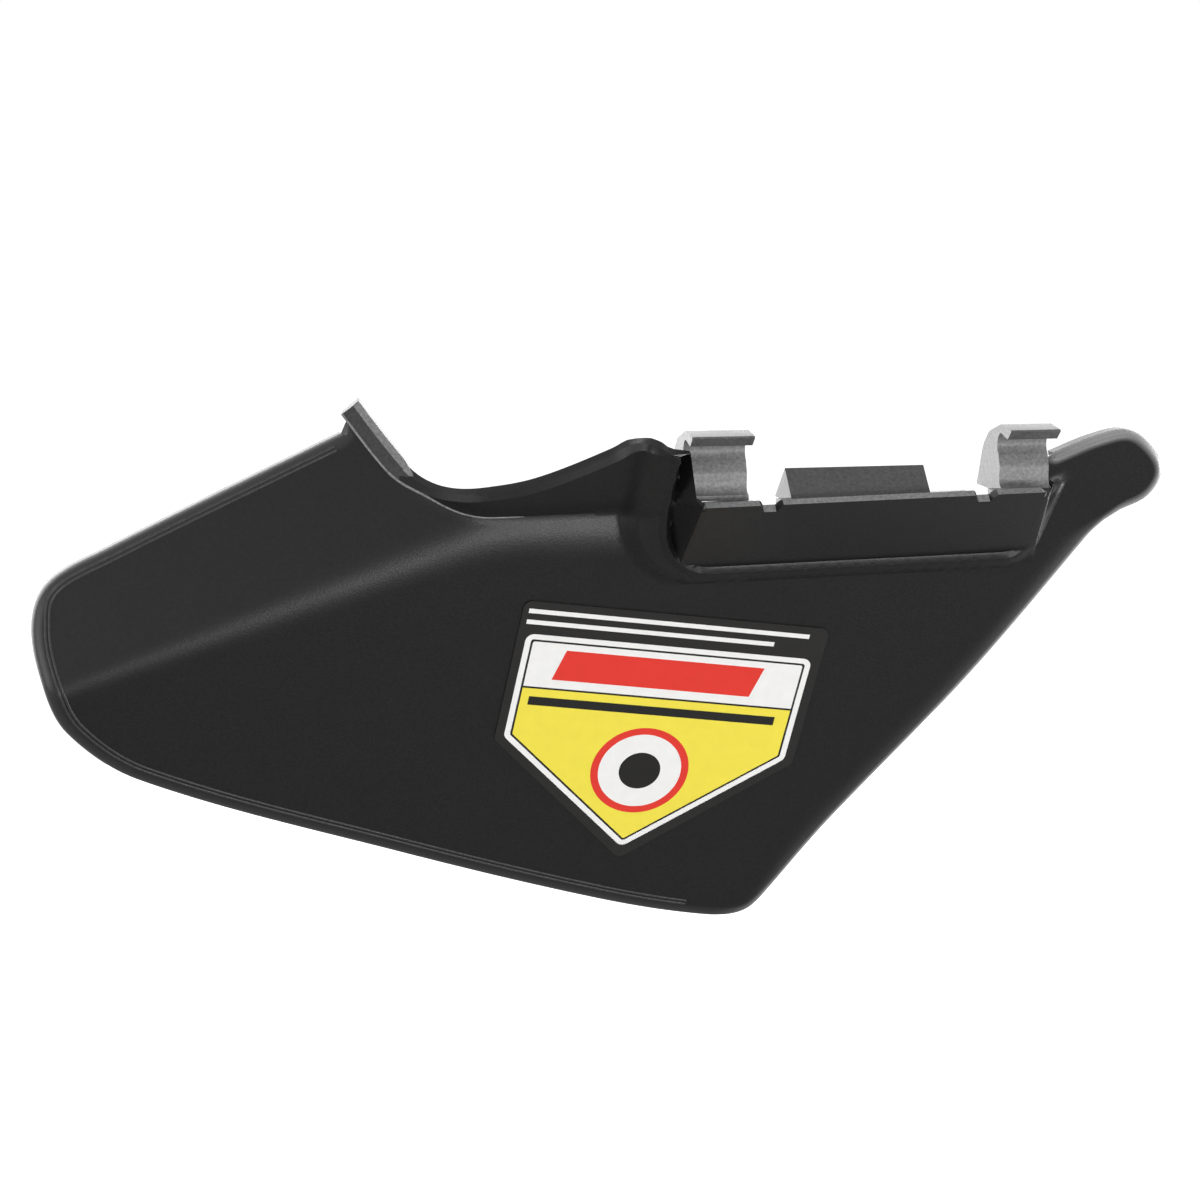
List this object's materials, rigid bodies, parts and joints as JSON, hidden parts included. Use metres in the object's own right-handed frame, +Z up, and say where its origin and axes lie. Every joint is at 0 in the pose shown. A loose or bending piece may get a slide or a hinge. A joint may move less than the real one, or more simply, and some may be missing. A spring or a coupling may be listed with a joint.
{
  "type": "side discharge chute",
  "caption": "Moulded side discharge hood for a walk-behind mower deck, hung on a hinge rod by snap hooks, with a stop tab and a sticker on its panel.",
  "frame": {"origin": "on the axis of the hinge rod, between the two hooks, 42.8 mm from the inner end of the rear one", "axes": "+X along the hinge rod, from the outlet end towards the nose; +Y inboard, away from the side that the panel faces; +Z up"},
  "size_m": [0.3812, 0.1156, 0.1935],
  "materials": {
    "black_plastic": "fine grained moulding texture",
    "sticker_film": "printed film, satin"
  },
  "bodies": {
    "root": {"chute_moulding": "black_plastic", "sticker": "sticker_film"}
  },
  "joints": []
}
